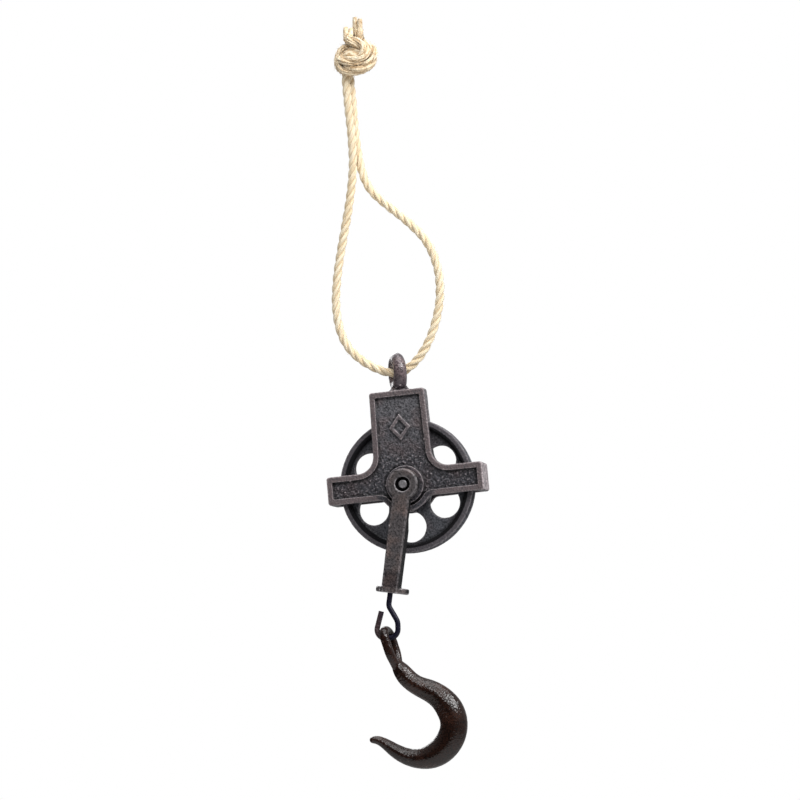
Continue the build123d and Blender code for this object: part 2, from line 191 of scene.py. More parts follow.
def dress(tree, shader, colour, roughness, height, strength, distance):
    """Feeds the shader what varies over the surface: colour, roughness, and relief of that depth."""
    relief = add(tree, "Bump", {"Height": height, "Strength": strength, "Distance": distance})
    tree.links.new(colour, shader.inputs["Base Color"])
    tree.links.new(roughness, shader.inputs["Roughness"])
    tree.links.new(relief.outputs["Normal"], shader.inputs["Normal"])


PATCH_SCALE = 85
PIT_SHADE = [0.38, 0.38, 0.39, 1]
GRAIN_SHADE = [1.35, 1.35, 1.35, 1]
RAISED_SMOOTHS = 0.7
DARKENING_TONE = [0.5, 0.5, 0.53, 1]
# Tones of painted shade: in concave places, in sheltered corners, and where a material asks for it
HOLLOW_SHADE = (20, 19, 21)
SHELTERED_SHADE = (9, 8, 10)
PAINTED_SHADE_TONE = (11, 10, 14)
PIT_ROUGH = 0.46
GRAIN_ROUGH = 0.28
SHADE_ROUGHENS = 0.62


def cast_skin_group():
    """Sand-cast iron: grain and pits, patches of brown in the black, a darkening, painted shade, and rubbed
    edges painted lighter as highlights.
    """
    group = bpy.data.node_groups.new("cast_skin", "ShaderNodeTree")
    for name, kind in (
        ("Place", "NodeSocketVector"),
        ("Edge", "NodeSocketFloat"),
        ("Open", "NodeSocketFloat"),
        ("Raised", "NodeSocketFloat"),
        ("Darkening", "NodeSocketFloat"),
        ("Painted Shade", "NodeSocketFloat"),
        ("Black", "NodeSocketColor"),
        ("Brown", "NodeSocketColor"),
        ("Rubbed And Lit", "NodeSocketColor"),
        ("Grain Scale", "NodeSocketFloat"),
        ("Polish", "NodeSocketFloat"),
    ):
        group.interface.new_socket(name, in_out="INPUT", socket_type=kind)
    for name, kind in (
        ("Color", "NodeSocketColor"),
        ("Roughness", "NodeSocketFloat"),
        ("Height", "NodeSocketFloat"),
    ):
        group.interface.new_socket(name, in_out="OUTPUT", socket_type=kind)
    given = group.nodes.new("NodeGroupInput").outputs
    put = group.nodes.new("NodeGroupOutput").inputs
    link = group.links.new
    fine = {"Vector": given["Place"], "Scale": given["Grain Scale"]}
    grain = add(group, "TexNoise", {**fine, "Detail": 3}).outputs["Fac"]
    speck = add(group, "TexVoronoi", fine).outputs["Distance"]
    coarse = {"Vector": given["Place"], "Scale": PATCH_SCALE}
    patches = add(group, "TexNoise", {**coarse, "Detail": 4}).outputs["Fac"]
    handled = reckon(group, "MULTIPLY", given["Raised"], spread(group, grain, low=0.25, high=0.5))
    browned = reckon(group, "MAXIMUM", spread(group, patches, low=0.47, high=0.7), handled)
    body = mix(group, browned, given["Black"], given["Brown"])
    shade = mix(group, spread(group, grain, low=0.34, high=0.6), PIT_SHADE, GRAIN_SHADE)
    shaded = reckon(group, "MULTIPLY_ADD", given["Raised"], -RAISED_SMOOTHS, 1.0)
    pitted = mix(group, shaded, body, shade, "MULTIPLY")
    # The darkening: painted shade low on the frame's field, and a darker band above the strap's foot
    darkened = mix(group, given["Darkening"], pitted, DARKENING_TONE, "MULTIPLY")
    # Painted shade: concave places, and corners that ambient occlusion finds sheltered, are darkened
    hollow = spread(group, given["Edge"], low=0.5, high=0.4)
    hollow_shaded = mix(group, hollow, darkened, tint(*HOLLOW_SHADE))
    sheltered = spread(group, given["Open"], low=1.0, high=0.6)
    corner_shaded = mix(group, sheltered, hollow_shaded, tint(*SHELTERED_SHADE))
    # Painted shade where a material asks for it: the wheel's ring and the strap's sides
    shade_painted = mix(group, given["Painted Shade"], corner_shaded, tint(*PAINTED_SHADE_TONE))
    # Sharp edges are rubbed bare and painted lighter as highlights too, except where painted shade lies
    edge = spread(group, given["Edge"], low=0.511, high=0.568)
    worn_and_lit = reckon(group, "MULTIPLY", edge, spread(group, grain, low=0.3, high=0.55))
    bared_and_lit = reckon(group, "MULTIPLY", worn_and_lit, reckon(group, "SUBTRACT", 1.0, given["Painted Shade"]))
    link(mix(group, bared_and_lit, shade_painted, given["Rubbed And Lit"]), put["Color"])
    rough = spread(group, grain, low=0.3, high=0.7, start=PIT_ROUGH, end=GRAIN_ROUGH)
    polished = reckon(group, "SUBTRACT", rough, given["Polish"])
    link(reckon(group, "MULTIPLY_ADD", given["Painted Shade"], SHADE_ROUGHENS, polished), put["Roughness"])
    link(reckon(group, "ADD", grain, speck), put["Height"])
    return group


cast_skin = cast_skin_group()
AXLE_PLACE = (0.0143, 0, -0.247)
# Reach of the ambient occlusion that finds sheltered corners for painted shade
SHELTER_REACH = 0.0022
# Within this radius of the axle the iron is not browner and takes the darkening. It reaches past the boss to
# the rim's arc round it, which is painted darker as shade.
BOSS_R = 0.0195
BOSS_FADES = 0.003
RAISED_FADES = 0.0004
DARKENING_STOPS = 0.0006
# Painted highlight: the arms' end faces count as sharper edges by this much, so they take the light edge tone
END_LIT = 0.055
LIT_END_FADES = 0.0006
RING_FADES = 0.0005
CAST_RELIEF = 0.0005
# Nothing of iron reaches a metre from the axle, so what starts there never shows
NOWHERE = 1.0
NO_DARKENING = ((0, 0, -1), NOWHERE, 1.1, 2.0)


def cast_iron(
    name,
    black,
    brown,
    rubbed_and_lit,
    grain_scale,
    polish,
    bump,
    shine,
    raised_from=NOWHERE,
    darkening=NO_DARKENING,
    lit_ends_at=NOWHERE,
    shade_ring=None,
    shaded_sides=False,
):
    """Blackened cast iron in its own tones, grain size and gloss.

    It is browner from raised_from on, in front and behind. Darkening is a way from the axle, and how far
    along it the darkening starts, is full and ends. The ends are painted lighter as a highlight, that far to
    each side of the axle. A ring of painted shade lies between two radii round the axle. Shaded sides are
    painted near black as shade, and their edges are not lightened.
    """
    material, tree, shader = new_finish(name, {"Specular IOR Level": shine})
    coordinates = add(tree, "TexCoord", {}).outputs
    place = coordinates["Object"]
    past_axle = add(tree, "VectorMath", {0: place, 1: AXLE_PLACE}, operation="SUBTRACT").outputs[0]
    axes = add(tree, "SeparateXYZ", {"Vector": past_axle}).outputs
    on_plane = add(tree, "VectorMath", {0: place, 1: (1, 0, 1)}, operation="MULTIPLY").outputs[0]
    radius = add(tree, "VectorMath", {0: on_plane, 1: AXLE_PLACE}, operation="DISTANCE").outputs["Value"]
    high = spread(tree, reckon(tree, "ABSOLUTE", axes["Y"]), raised_from - RAISED_FADES, raised_from)
    off_boss = spread(tree, radius, BOSS_R - BOSS_FADES, BOSS_R)
    raised = reckon(tree, "MULTIPLY", high, off_boss)
    dark_way, dark_starts, dark_full, dark_ends = darkening
    down = add(tree, "VectorMath", {0: past_axle, 1: dark_way}, operation="DOT_PRODUCT").outputs["Value"]
    low_down = spread(tree, down, dark_starts, dark_full)
    not_past = spread(tree, down, dark_ends + DARKENING_STOPS, dark_ends)
    in_reach = reckon(tree, "MULTIPLY", low_down, not_past)
    sunk = reckon(tree, "SUBTRACT", 1.0, raised)
    lit_end = spread(tree, reckon(tree, "ABSOLUTE", axes["X"]), lit_ends_at - LIT_END_FADES, lit_ends_at)
    sharp = add(tree, "NewGeometry", {}).outputs["Pointiness"]
    shelter = add(tree, "AmbientOcclusion", {"Distance": SHELTER_REACH}, only_local=True, samples=6)
    shade_mask = 0.0
    # Painted shade: a dark ring between two radii round the axle
    if shade_ring:
        ring_starts, ring_ends = shade_ring
        past_start = spread(tree, radius, ring_starts - RING_FADES, ring_starts)
        before_end = spread(tree, radius, ring_ends + RING_FADES, ring_ends)
        shade_mask = reckon(tree, "MULTIPLY", past_start, before_end)
    # Painted shade: faces that look sideways along X are painted near black
    if shaded_sides:
        facing = add(tree, "SeparateXYZ", {"Vector": coordinates["Normal"]}).outputs["X"]
        shade_mask = spread(tree, reckon(tree, "ABSOLUTE", facing), low=0.82, high=0.95)
    finish = {
        "Place": place,
        "Edge": reckon(tree, "MULTIPLY_ADD", lit_end, END_LIT, sharp),
        "Open": shelter.outputs["AO"],
        "Raised": raised,
        "Darkening": reckon(tree, "MULTIPLY", in_reach, sunk),
        "Painted Shade": shade_mask,
        "Black": tint(*black),
        "Brown": tint(*brown),
        "Rubbed And Lit": tint(*rubbed_and_lit),
        "Grain Scale": grain_scale,
        "Polish": polish,
    }
    skin = add(tree, "Group", finish, node_tree=cast_skin).outputs
    dress(tree, shader, skin["Color"], skin["Roughness"], skin["Height"], bump, CAST_RELIEF)
    return material


WHEEL_FACE = 0.005
# Radii of the ring of painted shade on the inner part of the rim's face
WHEEL_SHADE_RING = (0.0354, 0.0375)
wheel_iron = cast_iron(
    "wheel_iron",
    black=(74, 75, 80),
    brown=(81, 77, 81),
    rubbed_and_lit=(150, 144, 149),
    grain_scale=850,
    polish=0.0,
    bump=0.45,
    shine=0.3,
    raised_from=WHEEL_FACE,
    shade_ring=WHEEL_SHADE_RING,
)


def stand_for(piece, node, body, material):
    """The piece takes a CAD node's place, body, slot and finish."""
    piece.data.materials.append(material)
    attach(piece, body)
    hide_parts(node)


wheel = casting("sheave_wheel", "sheave_wheel_cast", WHEEL_VOXEL)
roughen(wheel, size=0.003, depth=0.00025)
stand_for(wheel, "sheave_wheel", "sheave", wheel_iron)

# Frame halves
# Two castings that meet on the centre plane: an inverted T with a raised rim round a rough, sunk field.
# The sand grain stands highest in the field, most of all in the arms, where nothing rubs it. The field is
# painted darker towards the bottom as shade, and the arms' end faces are painted lighter as a highlight.
FRAME_VOXEL = 0.0004
FIELD_LEVEL = 0.0079
FIELD_SLACK = 0.0005
FIELD_FACING = 0.7
ARM_TOP = -0.228
COLUMN_SHARE = 0.55
RIM_FACE = 0.0092
# Painted shade: the frame's sunk field is darker from 47 mm above the axle down, full from just above it
FRAME_SHADE_DOWN = ((0, 0, -1), -0.047, -0.002, NOWHERE)
# Beyond this distance from the axle the arms' ends carry the painted highlight
ARM_END = 0.0472
frame_iron = cast_iron(
    "frame_iron",
    black=(92, 91, 95),
    brown=(100, 90, 91),
    rubbed_and_lit=(188, 176, 179),
    grain_scale=850,
    polish=0.0,
    bump=0.55,
    shine=0.35,
    raised_from=RIM_FACE,
    darkening=FRAME_SHADE_DOWN,
    lit_ends_at=ARM_END,
)
for node in ("frame_front_half", "frame_rear_half"):
    half = casting(node, node + "_cast", FRAME_VOXEL)
    field = half.vertex_groups.new(name="field")
    for v in half.data.vertices:
        if abs(abs(v.co.y) - FIELD_LEVEL) < FIELD_SLACK and abs(v.normal.y) > FIELD_FACING:
            field.add([v.index], COLUMN_SHARE if v.co.z > ARM_TOP else 1.0, "REPLACE")
    roughen(half, size=0.0017, depth=0.0014, group="field")
    roughen(half, size=0.004, depth=0.0003)
    stand_for(half, node, "frame", frame_iron)

# Swivel eye
# A thick cast ring on a collar. Its shank turns in the crown, and the rope has worn the ring a little
# smoother than the frame.
EYE_VOXEL = 0.0004
eye_iron = cast_iron(
    "eye_iron",
    black=(82, 73, 77),
    brown=(116, 100, 102),
    rubbed_and_lit=(194, 182, 184),
    grain_scale=850,
    polish=0.17,
    bump=0.3,
    shine=0.5,
)
eye = casting("swivel_eye", "swivel_eye_cast", EYE_VOXEL)
roughen(eye, size=0.003, depth=0.0003)
stand_for(eye, "swivel_eye", "eye", eye_iron)

# Hanger strap
# A cast bar with an eye on the axle's front end and a round foot below. The wire's head turns in a pocket
# at its back. Its sides are painted near black as shade, and it is darker above its foot.
STRAP_VOXEL = 0.0004
STRAP_TILT = math.radians(12.5)
STRAP_DARKENING = ((-math.sin(STRAP_TILT), 0, -math.cos(STRAP_TILT)), 0.0505, 0.0535, 0.0614)
strap_iron = cast_iron(
    "strap_iron",
    black=(77, 73, 74),
    brown=(101, 87, 83),
    rubbed_and_lit=(190, 184, 188),
    grain_scale=850,
    polish=0.08,
    bump=0.3,
    shine=0.35,
    darkening=STRAP_DARKENING,
    shaded_sides=True,
)
strap = casting("hanger_strap", "hanger_strap_cast", STRAP_VOXEL)
roughen(strap, size=0.004, depth=0.0003)
stand_for(strap, "hanger_strap", "hanger", strap_iron)

# Pins, washers and bush
# Turned steel, dull from handling, and a brass sleeve that shows only as a thin ring in the hub.
METAL_SHARE = 0.85
STAIN_DULLS = 0.15


def turned_metal(name, colour, dark, roughness):
    """Dull turned metal with fine scratches and stains."""
    material, tree, shader = new_finish(name, {"Metallic": METAL_SHARE})
    place = add(tree, "TexCoord", {}).outputs["Object"]
    stains = add(tree, "TexNoise", {"Vector": place, "Scale": 500, "Detail": 5}).outputs["Fac"]
    tone = mix(tree, spread(tree, stains, low=0.35, high=0.65), tint(*dark), tint(*colour))
    dull = spread(tree, stains, start=roughness + STAIN_DULLS, end=roughness)
    scratch = add(tree, "TexNoise", {"Vector": place, "Scale": 3000, "Detail": 2}).outputs["Fac"]
    dress(tree, shader, tone, dull, scratch, strength=0.15, distance=0.0001)
    return material


def refinish(node, material):
    """Gives a CAD node that stays as it is a better finish."""
    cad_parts[node].data.materials.clear()
    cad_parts[node].data.materials.append(material)


dull_steel = turned_metal("dull_steel", (226, 224, 228), (158, 155, 159), 0.36)
dark_steel = turned_metal("dark_steel", (88, 84, 84), (52, 49, 50), 0.45)
black_steel = turned_metal("black_steel", (26, 25, 27), (12, 12, 13), 0.55)
bush_brass = turned_metal("bush_brass", (176, 142, 84), (120, 92, 52), 0.35)
for node, metal in (
    ("axle_pin", dull_steel),
    ("sheave_bush", bush_brass),
    ("axle_clip", black_steel),
    ("arm_rivets", dark_steel),
    ("crown_rivets", dark_steel),
    ("thrust_washer_front", dark_steel),
    ("thrust_washer_rear", dark_steel),
    ("strap_washer", dark_steel),
    ("head_washer", dark_steel),
    ("swivel_washer", dark_steel),
):
    refinish(node, metal)

# Swivel wire
# Mild steel wire, headed above the strap's foot and bent by hand into an open hook, then painted black.
# The paint is rubbed off its open end.
PAINT_TONES = ((10, 9, 32), (24, 20, 42))
BARE_TONES = ((54, 40, 42), (90, 76, 79))
PAINTED_TO = -0.004
BARE_FROM = -0.0085
black_paint, paint_tree, paint_shader = new_finish("black_paint", {"Specular IOR Level": 0.3})
paint_place = add(paint_tree, "TexCoord", {}).outputs["Object"]
drawn = add(paint_tree, "TexNoise", {"Vector": paint_place, "Scale": 700, "Detail": 4}).outputs["Fac"]
blotched = spread(paint_tree, drawn, low=0.4, high=0.7)
painted, bare = [
    mix(paint_tree, blotched, tint(*dark), tint(*pale)) for dark, pale in (PAINT_TONES, BARE_TONES)
]
along_wire = add(paint_tree, "SeparateXYZ", {"Vector": paint_place}).outputs["X"]
wire_tone = mix(paint_tree, spread(paint_tree, along_wire, PAINTED_TO, BARE_FROM), painted, bare)
paint_dull = spread(paint_tree, drawn, start=0.36, end=0.56)
dress(paint_tree, paint_shader, wire_tone, paint_dull, drawn, strength=0.2, distance=0.0002)
refinish("swivel_wire", black_paint)

# Cargo hook
# Cast iron, darker and browner than the frame, with an orange-peel skin that shines softly.
HOOK_VOXEL = 0.0004
hook_iron = cast_iron(
    "hook_iron",
    black=(31, 17, 12),
    brown=(50, 30, 23),
    rubbed_and_lit=(80, 64, 60),
    grain_scale=800,
    polish=0.2,
    bump=0.3,
    shine=0.46,
)
hook = casting("cargo_hook", "cargo_hook_cast", HOOK_VOXEL)
roughen(hook, size=0.0016, depth=0.0002)
stand_for(hook, "cargo_hook", "hook", hook_iron)

# Rope
# Three-strand natural cord, laid right-handed. One length goes from its first tail through the knot, down
# and under the eye, back up, and through the knot again to its second tail.
STRAND_R = 0.0015
STRAND_FROM_MIDDLE = 0.00116
STRAND_STEPS = 18
LAY = 0.019
YARN_RIBS = 7
YARN_HIGH = 0.035
LINE_STEPS = 26
KNOT_SLACKENS = 0.012
KNOT_SWELLS = 0.22
KNOT_UNLAID = 0.45
KNOT_YARN_HIGH = 0.08
LOOP_ROUTE = [
    (0.0, -0.0028, 0.007),
    (-0.0003, -0.0028, -0.011),
    (0.0003, -0.0028, -0.032),
    (-0.0003, -0.0028, -0.051),
    (-0.0045, -0.0018, -0.071),
    (-0.0107, -0.0006, -0.092),
    (-0.0171, 0.0, -0.115),
    (-0.0203, 0.0, -0.137),
    (-0.0173, 0.0, -0.156),
    (-0.0083, 0.0, -0.1682),
    (0.0034, 0.0, -0.1761),
    (0.0147, 0.0, -0.1801),
    (0.0245, 0.0, -0.175),
    (0.0325, 0.0, -0.1668),
    (0.0395, 0.0, -0.154),
    (0.0447, 0.0, -0.1376),
    (0.0455, 0.0, -0.12),
    (0.0407, 0.0, -0.1024),
    (0.0295, 0.0006, -0.0884),
    (0.0161, 0.0016, -0.0758),
    (0.0059, 0.0026, -0.0644),
    (0.0021, 0.0028, -0.048),
    (0.0013, 0.0028, -0.029),
    (0.0016, 0.0028, -0.01),
    (0.0012, 0.0028, 0.007),
]
# The way of each rope end through the knot, about the knot's middle
KNOT_MIDDLE = Vector((0.0076, 0, 0.014))
FRONT_END = [
    (-0.0066, -0.0022, -0.0040),
    (-0.0040, -0.0006, 0.0010),
    (-0.0046, 0.0006, 0.0082),
    (-0.0086, -0.0012, 0.0070),
    (-0.0112, -0.0030, -0.0010),
    (-0.0088, -0.0062, -0.0066),
    (-0.0026, -0.0080, -0.0080),
    (0.0040, -0.0076, -0.0074),
    (0.0090, -0.0052, -0.0042),
    (0.0106, -0.0026, 0.0018),
    (0.0080, -0.0010, 0.0070),
    (0.0034, 0.0024, 0.0092),
    (0.0016, 0.0034, 0.0116),
    (0.0015, 0.0016, 0.0150),
    (0.0020, 0.0010, 0.0186),
]
REAR_END = [
    (-0.0058, 0.0032, -0.0040),
    (-0.0020, 0.0036, 0.0000),
    (-0.0010, 0.0036, 0.0040),
    (-0.0058, 0.0034, 0.0066),
    (-0.0102, 0.0016, 0.0034),
    (-0.0106, -0.0030, 0.0000),
    (-0.0064, -0.0076, -0.0020),
    (-0.0004, -0.0090, -0.0030),
    (0.0046, -0.0080, -0.0016),
    (0.0068, -0.0060, 0.0026),
    (0.0050, -0.0046, 0.0068),
    (0.0008, -0.0046, 0.0096),
    (-0.0022, -0.0036, 0.0108),
    (-0.0042, -0.0014, 0.0126),
    (-0.0040, -0.0006, 0.0152),
]


def smooth_line(points):
    """The points of one smooth line along a given route."""
    curve = bpy.data.curves.new("route", "CURVE")
    curve.dimensions = "3D"
    curve.resolution_u = LINE_STEPS
    spline = curve.splines.new("NURBS")
    spline.points.add(len(points) - 1)
    for point, place in zip(spline.points, points):
        point.co = (*place, 1)
    spline.order_u = 3
    spline.use_endpoint_u = True
    mesh = bpy.data.meshes.new_from_object(bpy.data.objects.new("route", curve))
    return [v.co.copy() for v in mesh.vertices]


def sides_along(line):
    """Two directions square to the line at each of its points, carried along without twist."""
    last = len(line) - 1
    ways = [(line[min(i + 1, last)] - line[max(i - 1, 0)]).normalized() for i in range(len(line))]
    side = ways[0].orthogonal()
    pairs = []
    for way in ways:
        side = (side - way * side.dot(way)).normalized()
        pairs.append((side, way.cross(side)))
    return pairs


def distances(line):
    """How far along the line each of its points is."""
    along = [0.0]
    for before, after in zip(line, line[1:]):
        along.append(along[-1] + (after - before).length)
    return along


def rope_ring(place, sides, turn, swell, yarn_high):
    """One ring of the rope: three touching strands with ribs of yarn, turned by the lay and swollen."""
    third = math.radians(120)
    crease = third / 2 + math.asin(math.sin(third / 2) * STRAND_FROM_MIDDLE / STRAND_R)
    ring = []
    for strand in range(3):
        middle = turn + strand * third
        for step in range(STRAND_STEPS):
            bend = crease * (2 * step / STRAND_STEPS - 1)
            rib = 1 + yarn_high * math.cos(YARN_RIBS * (bend + turn)) * math.cos(bend / 2)
            across = STRAND_FROM_MIDDLE * math.cos(middle) + STRAND_R * rib * math.cos(middle + bend)
            up = STRAND_FROM_MIDDLE * math.sin(middle) + STRAND_R * rib * math.sin(middle + bend)
            ring.append(place + (sides[0] * across + sides[1] * up) * swell)
    return ring


def tube(name, rings, heights, laps):
    """Closed tube through rings of points, with a UV map that counts its lobes and its lays."""
    count = len(rings[0])
    mesh = bpy.data.meshes.new(name)
    faces = []
    places = []
    for i in range(len(rings) - 1):
        for j in range(count):
            k = (j + 1) % count
            faces.append((i * count + j, i * count + k, (i + 1) * count + k, (i + 1) * count + j))
            left = laps * j / count
            right = laps * (j + 1) / count
            below, above = heights[i], heights[i + 1]
            places += [(left, below), (right, below), (right, above), (left, above)]
    first_cap = tuple(reversed(range(count)))
    last_cap = tuple(range((len(rings) - 1) * count, len(rings) * count))
    for cap, height in ((first_cap, heights[0]), (last_cap, heights[-1])):
        faces.append(cap)
        places += [(0.5, height)] * count
    mesh.from_pydata([p for ring in rings for p in ring], [], faces)
    layer = mesh.uv_layers.new(name="lay")
    layer.data.foreach_set("uv", [value for place in places for value in place])
    piece = bpy.data.objects.new(name, mesh)
    bpy.context.scene.collection.objects.link(piece)
    pick(piece)
    bpy.ops.object.shade_smooth()
    return piece


front_way = [KNOT_MIDDLE + Vector(p) for p in FRONT_END]
rear_way = [KNOT_MIDDLE + Vector(p) for p in REAR_END]
rope_line = smooth_line(front_way[::-1] + [Vector(p) for p in LOOP_ROUTE] + rear_way)
rope_sides = sides_along(rope_line)
rope_along = distances(rope_line)


def nearest(place):
    """The number of the point of the rope's line nearest to a place."""
    return min(range(len(rope_line)), key=lambda i: (rope_line[i] - Vector(place)).length)


loop_start = nearest(LOOP_ROUTE[0])
loop_end = nearest(LOOP_ROUTE[-1])
in_eye = min(range(len(rope_line)), key=lambda i: rope_line[i].z)


def slackness(number):
    """How far into the knot a point of the line is, from 0 on the loop to 1 where the rope has swollen."""
    inside = max(rope_along[loop_start] - rope_along[number], rope_along[number] - rope_along[loop_end], 0)
    return min(inside / KNOT_SLACKENS, 1)


rope_heights = [0.0]
for number in range(1, len(rope_line)):
    step = (rope_along[number] - rope_along[number - 1]) / LAY
    rope_heights.append(rope_heights[-1] + step * (1 - KNOT_UNLAID * slackness(number)))
rope_rings = [
    rope_ring(
        place,
        sides,
        2 * math.pi * height,
        1 + KNOT_SWELLS * slackness(number),
        YARN_HIGH + KNOT_YARN_HIGH * slackness(number),
    )
    for number, (place, sides, height) in enumerate(zip(rope_line, rope_sides, rope_heights))
]
loop_part = slice(loop_start, loop_end + 1)
loop = tube("rope_loop_laid", rope_rings[loop_part], rope_heights[loop_part], 3)

# Knot
# Both rope ends tied together in one overhand knot. The tails stand up out of it, cut short, with their
# strands opened and frayed.
knot_parts = [
    tube("rope_knot_tied", rope_rings[: loop_start + 1], rope_heights[: loop_start + 1], 3),
    tube("rope_knot_rear", rope_rings[loop_end:], rope_heights[loop_end:], 3),
]
# The inner turns of the knot: half its width, depth and height
KNOT_HEART = (0.0112, 0.0074, 0.0092)
HEART_LOBES = 7
HEART_LOBE_HIGH = 0.06
HEART_RINGS = 24
HEART_REACH = 0.99
HEART_TWIST = 1.2
heart_rings = []
for number in range(HEART_RINGS + 1):
    part = 2 * HEART_REACH * number / HEART_RINGS - HEART_REACH
    thick = math.sqrt(1 - part * part)
    ring = []
    for step in range(HEART_LOBES * STRAND_STEPS):
        angle = 2 * math.pi * step / (HEART_LOBES * STRAND_STEPS)
        lobe_high = thick * (1 - HEART_LOBE_HIGH + HEART_LOBE_HIGH * abs(math.sin(HEART_LOBES * angle / 2)))
        turned = angle + HEART_TWIST * part
        side = Vector((part, lobe_high * math.cos(turned), lobe_high * math.sin(turned)))
        ring.append(KNOT_MIDDLE + Vector([half * share for half, share in zip(KNOT_HEART, side)]))
    heart_rings.append(ring)
heart_heights = [2 * KNOT_HEART[0] * number / HEART_RINGS / LAY for number in range(HEART_RINGS + 1)]
knot_parts.append(tube("rope_knot_heart", heart_rings, heart_heights, HEART_LOBES))
for part in knot_parts:
    roughen(part, size=0.0011, depth=0.0011)
STUB_R = 0.0019
STUB_STEPS = 14
STUB_OPEN = 0.0008
STUB_TAPER = 0.3
STUB_RIBS = 5
STUB_RIB_HIGH = 0.09
# The line of a stub: how far along, in its lengths, and how far outward, in openings
STUB_LINE = ((-0.6, 0.0), (0.0, 0.2), (0.5, 0.8), (1.0, 1.2))
TAIL_LONG = (0.0075, 0.0052)
TAIL_TURN = 0.6
TAIL_STEPS = 3
STRAND_SHORTER = 0.12


def around(sides, angle):
    """The way outward from a line, at that angle round it."""
    return sides[0] * math.cos(angle) + sides[1] * math.sin(angle)


def strand_stub(name, start, way, outward, long):
    """The opened end of one strand, leaning outward and a little flattened where it was cut."""
    line = smooth_line(
        [start + way * long * along + outward * STUB_OPEN * aside for along, aside in STUB_LINE]
    )
    rings = []
    for number, (place, sides) in enumerate(zip(line, sides_along(line))):
        thin = 1 - STUB_TAPER * (number / len(line)) ** 3
        ring = []
        for step in range(STUB_STEPS):
            angle = 2 * math.pi * step / STUB_STEPS
            rib = 1 + STUB_RIB_HIGH * math.cos(STUB_RIBS * angle)
            ring.append(place + around(sides, angle) * STUB_R * thin * rib)
        rings.append(ring)
    return tube(name, rings, [along / LAY for along in distances(line)], 1)


tail_ends = (
    (rope_line[0], (rope_line[0] - rope_line[TAIL_STEPS]).normalized(), rope_sides[0], TAIL_LONG[0]),
    (rope_line[-1], (rope_line[-1] - rope_line[-1 - TAIL_STEPS]).normalized(), rope_sides[-1], TAIL_LONG[1]),
)
for tail, (place, way, sides, long) in enumerate(tail_ends):
    for strand in range(3):
        outward = around(sides, 2 * math.pi * strand / 3 + TAIL_TURN)
        start = place + outward * STRAND_FROM_MIDDLE
        stub_long = long * (1 - STRAND_SHORTER * strand)
        knot_parts.append(strand_stub(f"stub_{tail}_{strand}", start, way, outward, stub_long))

# Loose fibres
# Hairs of the cord that stand off the lay, and the brush of cut ends on the tails. The eye has rubbed them
# off where it hangs.
FIBRE_R = 0.00007
FIBRE_RISES = 0.35
FIBRE_TAPER = 0.75
FIBRE_STEPS = 4
FIBRE_LONG = (0.002, 0.0045)
FIBRES_ON_LOOP = 260
LOOP_MARGIN = 4
EYE_RUBS = 0.016
BRUSH_LONG = (0.001, 0.0026)
BRUSH_WIDE = (0.0002, 0.0008)
BRUSH_ROOT = 0.001
BRUSH_OPEN = 1.1
BRUSH_AT = 0.95
FIBRES_ON_STUB = 16
KNOT_FIBRE_R = 0.00017
KNOT_FIBRE_RISES = 0.16
KNOT_FIBRE_LONG = (0.0016, 0.0042)
FIBRES_ON_KNOT = 1500
FIBRE_SHADES = 40
draw = random.Random(7)


def loose_fibre(points, faces, start, way, lift, long, thick=FIBRE_R, rise=FIBRE_RISES):
    """Adds one thin three-sided hair that leaves the rope along way and lifts off it."""
    base = len(points)
    across = way.cross(lift).normalized()
    for step in range(FIBRE_STEPS):
        part = step / (FIBRE_STEPS - 1)
        middle = start + way * long * part + lift * long * rise * part * part
        radius = thick * (1 - FIBRE_TAPER * part)
        points += [middle + across * radius, middle - across * radius, middle + lift * radius]
    for step in range(FIBRE_STEPS - 1):
        for side in range(3):
            near = base + step * 3 + side
            beside = base + step * 3 + (side + 1) % 3
            faces.append((near, beside, beside + 3, near + 3))
    faces.append((base + 2, base + 1, base))
    tip = base + 3 * (FIBRE_STEPS - 1)
    faces.append((tip, tip + 1, tip + 2))


def fibre_piece(name, points, faces):
    """One mesh of all the hairs in a list, each at its own place on the cord's pattern."""
    mesh = bpy.data.meshes.new(name)
    mesh.from_pydata(points, [], faces)
    layer = mesh.uv_layers.new(name="lay")
    faces_per_hair = 3 * (FIBRE_STEPS - 1) + 2
    corners_per_hair = 12 * (FIBRE_STEPS - 1) + 6
    places = []
    for _ in range(len(faces) // faces_per_hair):
        places += [0.5, draw.uniform(0, FIBRE_SHADES)] * corners_per_hair
    layer.data.foreach_set("uv", places)
    piece = bpy.data.objects.new(name, mesh)
    bpy.context.scene.collection.objects.link(piece)
    return piece


def hair_root(ring):
    """Where a hair leaves a ring of the rope, its way along the rope and its way off it."""
    start = rope_rings[ring][draw.randrange(3 * STRAND_STEPS)]
    lift = (start - rope_line[ring]).normalized()
    way = (rope_line[ring + 1] - rope_line[ring - 1]).normalized() * draw.choice((-1, 1))
    return start, way, lift


hair_points = []
hair_faces = []
for _ in range(FIBRES_ON_LOOP):
    ring = draw.randrange(loop_start + LOOP_MARGIN, loop_end - LOOP_MARGIN)
    if (rope_line[ring] - rope_line[in_eye]).length < EYE_RUBS:
        continue
    start, way, lift = hair_root(ring)
    loose_fibre(hair_points, hair_faces, start, way, lift, draw.uniform(*FIBRE_LONG))
hairs = fibre_piece("rope_fibres", hair_points, hair_faces)

